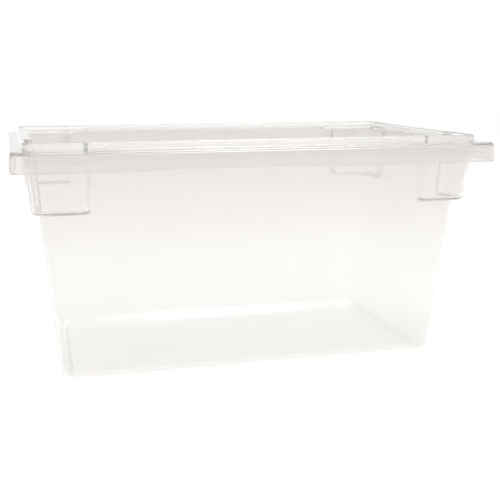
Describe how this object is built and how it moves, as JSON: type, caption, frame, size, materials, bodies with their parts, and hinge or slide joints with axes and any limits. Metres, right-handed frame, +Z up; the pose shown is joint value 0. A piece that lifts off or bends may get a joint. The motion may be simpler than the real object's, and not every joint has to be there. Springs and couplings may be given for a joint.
{
  "type": "food storage box",
  "caption": "Clear polycarbonate food box with a tapered tub, hollow corner shoulders, a raised lip round the mouth and skirted handle flanges.",
  "frame": {"origin": "middle of the face the box rests on", "axes": "+X along the box, +Y from the front to the rear, +Z up out of the mouth"},
  "size_m": [0.4572, 0.3048, 0.2286],
  "materials": {
    "clear_polycarbonate": "clear gloss, faintly hazed by use"
  },
  "bodies": {
    "root": {"floor": "clear_polycarbonate", "front_wall": "clear_polycarbonate", "rear_wall": "clear_polycarbonate", "left_wall": "clear_polycarbonate", "right_wall": "clear_polycarbonate", "front_left_corner": "clear_polycarbonate", "front_right_corner": "clear_polycarbonate", "rear_left_corner": "clear_polycarbonate", "rear_right_corner": "clear_polycarbonate", "front_left_shoulder": "clear_polycarbonate", "front_right_shoulder": "clear_polycarbonate", "rear_left_shoulder": "clear_polycarbonate", "rear_right_shoulder": "clear_polycarbonate", "front_lip": "clear_polycarbonate", "rear_lip": "clear_polycarbonate", "left_lip": "clear_polycarbonate", "right_lip": "clear_polycarbonate", "front_flange": "clear_polycarbonate", "rear_flange": "clear_polycarbonate", "left_handle": "clear_polycarbonate", "right_handle": "clear_polycarbonate"}
  },
  "joints": []
}
